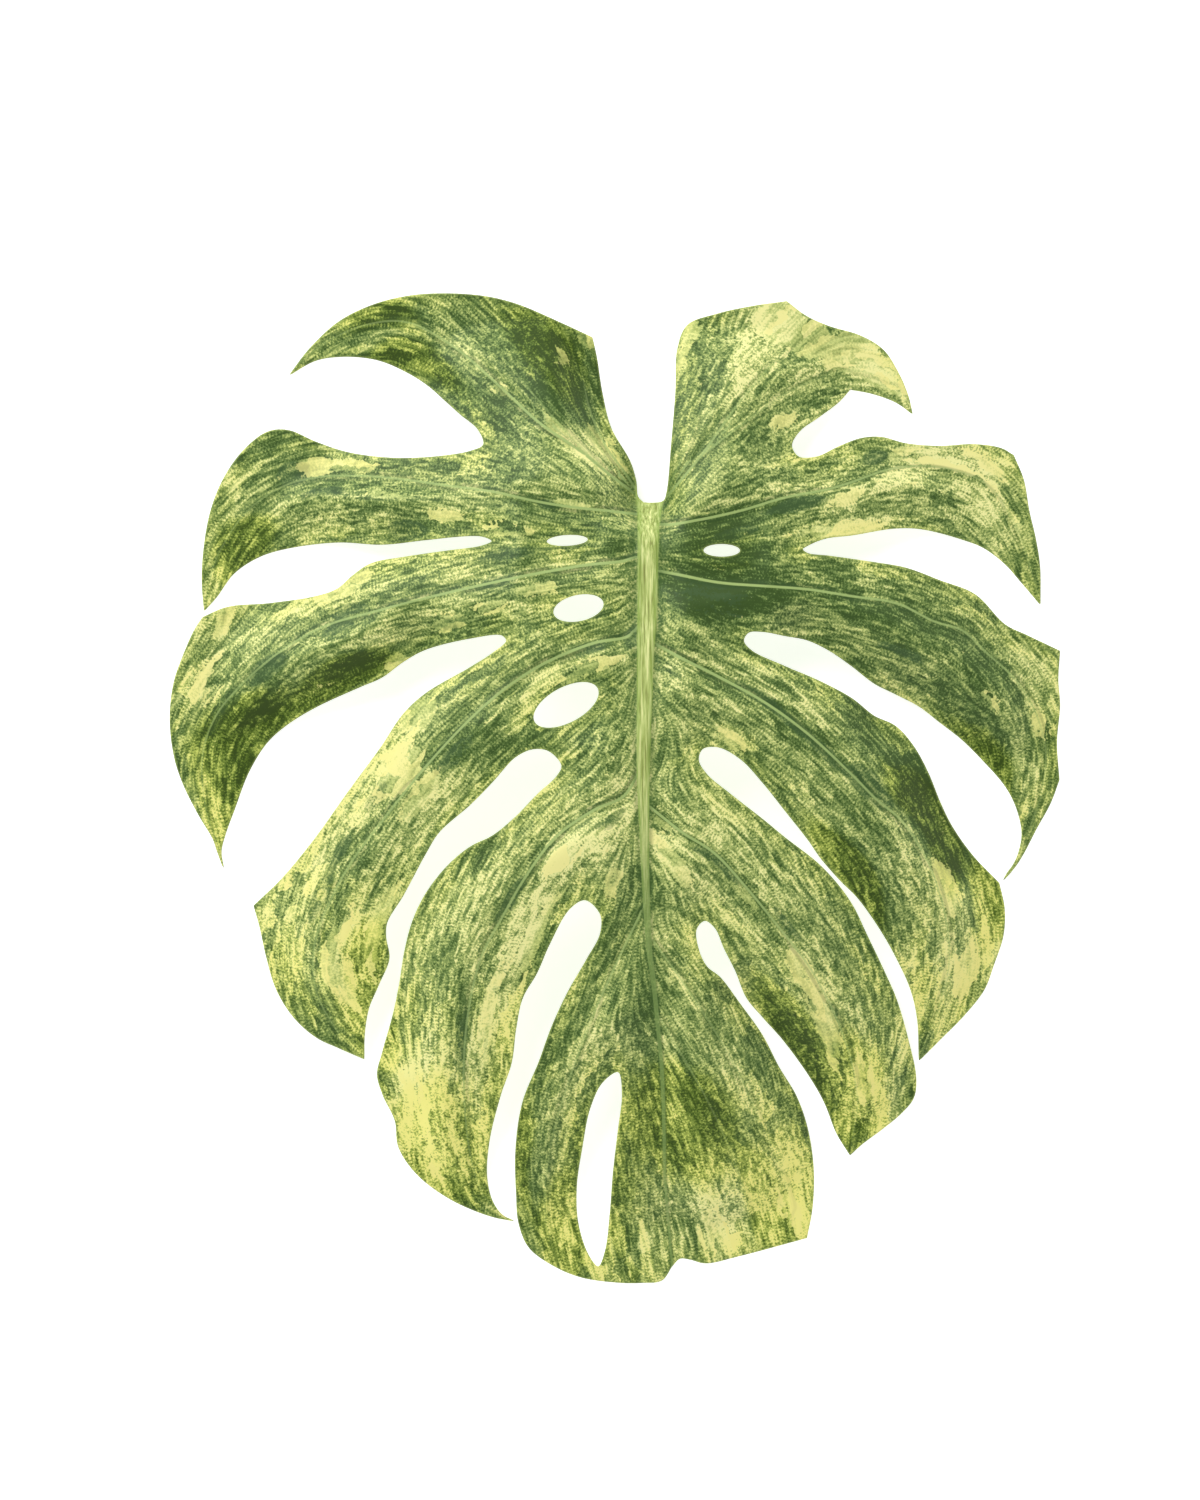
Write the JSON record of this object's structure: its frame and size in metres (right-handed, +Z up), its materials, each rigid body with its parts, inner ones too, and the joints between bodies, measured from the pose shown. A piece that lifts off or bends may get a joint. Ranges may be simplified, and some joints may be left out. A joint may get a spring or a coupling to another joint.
{
  "type": "monstera leaf",
  "caption": "Cut variegated monstera leaf lying face up: a domed, deeply lobed blade with a thick midrib and holes beside it.",
  "frame": {"origin": "middle of the leaf's box, on the surface that it lies on", "axes": "+Z up out of the upper face of the blade, +Y from the leaf's tip to the cut end of its stalk, +X to the right seen from above"},
  "size_m": [0.4, 0.4448, 0.0404],
  "materials": {
    "blade": "fresh waxy leaf skin, dark green flecked and streaked with yellow-green and cream along the veins, paler midrib"
  },
  "bodies": {
    "root": {"leaf_blade": "blade"}
  },
  "joints": []
}
